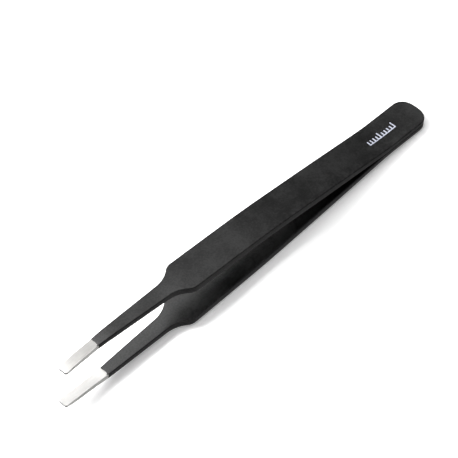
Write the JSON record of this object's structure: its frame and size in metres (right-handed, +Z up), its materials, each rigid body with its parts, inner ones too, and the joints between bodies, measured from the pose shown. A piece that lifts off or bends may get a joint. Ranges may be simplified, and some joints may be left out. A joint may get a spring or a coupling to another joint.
{
  "type": "precision tweezers",
  "caption": "Spring-arm precision tweezers with bare flat blunt tips, a matt black anti-static coating and a welded heel, for gripping small parts.",
  "frame": {"origin": "centre of the bounding box in plan, on the surface that the tweezers lie on", "axes": "+X along the tweezers from the tips towards the heel, +Y across the arms, +Z up from the lower arm to the upper arm as it lies"},
  "size_m": [0.1202, 0.009, 0.0167],
  "materials": {
    "steel": "fine brushed, bare",
    "weld": "fused steel, hidden",
    "coating": "matt black anti-static coating",
    "ink": "white printed ink"
  },
  "bodies": {
    "heel": {"heel_coating": "coating", "upper_tail": "steel", "lower_tail": "steel", "rear_spot_weld": "weld", "front_spot_weld": "weld", "printed_mark": "ink"},
    "upper_arm": {"upper_blade": "steel", "upper_blade_coating": "coating"},
    "lower_arm": {"lower_blade": "steel", "lower_blade_coating": "coating"}
  },
  "joints": [
    {"name": "upper_arm_flex", "type": "hinge", "parent": "heel", "child": "upper_arm", "pos_m": [0.0352, 0, 0.00472], "axis": [0, -1, 0], "range_deg": [0, 3.34], "stiffness_Nm_per_rad": 1.2},
    {"name": "lower_arm_flex", "type": "hinge", "parent": "heel", "child": "lower_arm", "pos_m": [0.03497, 0, 0.00159], "axis": [0, 1, 0], "range_deg": [0, 3.34], "stiffness_Nm_per_rad": 1.2}
  ]
}
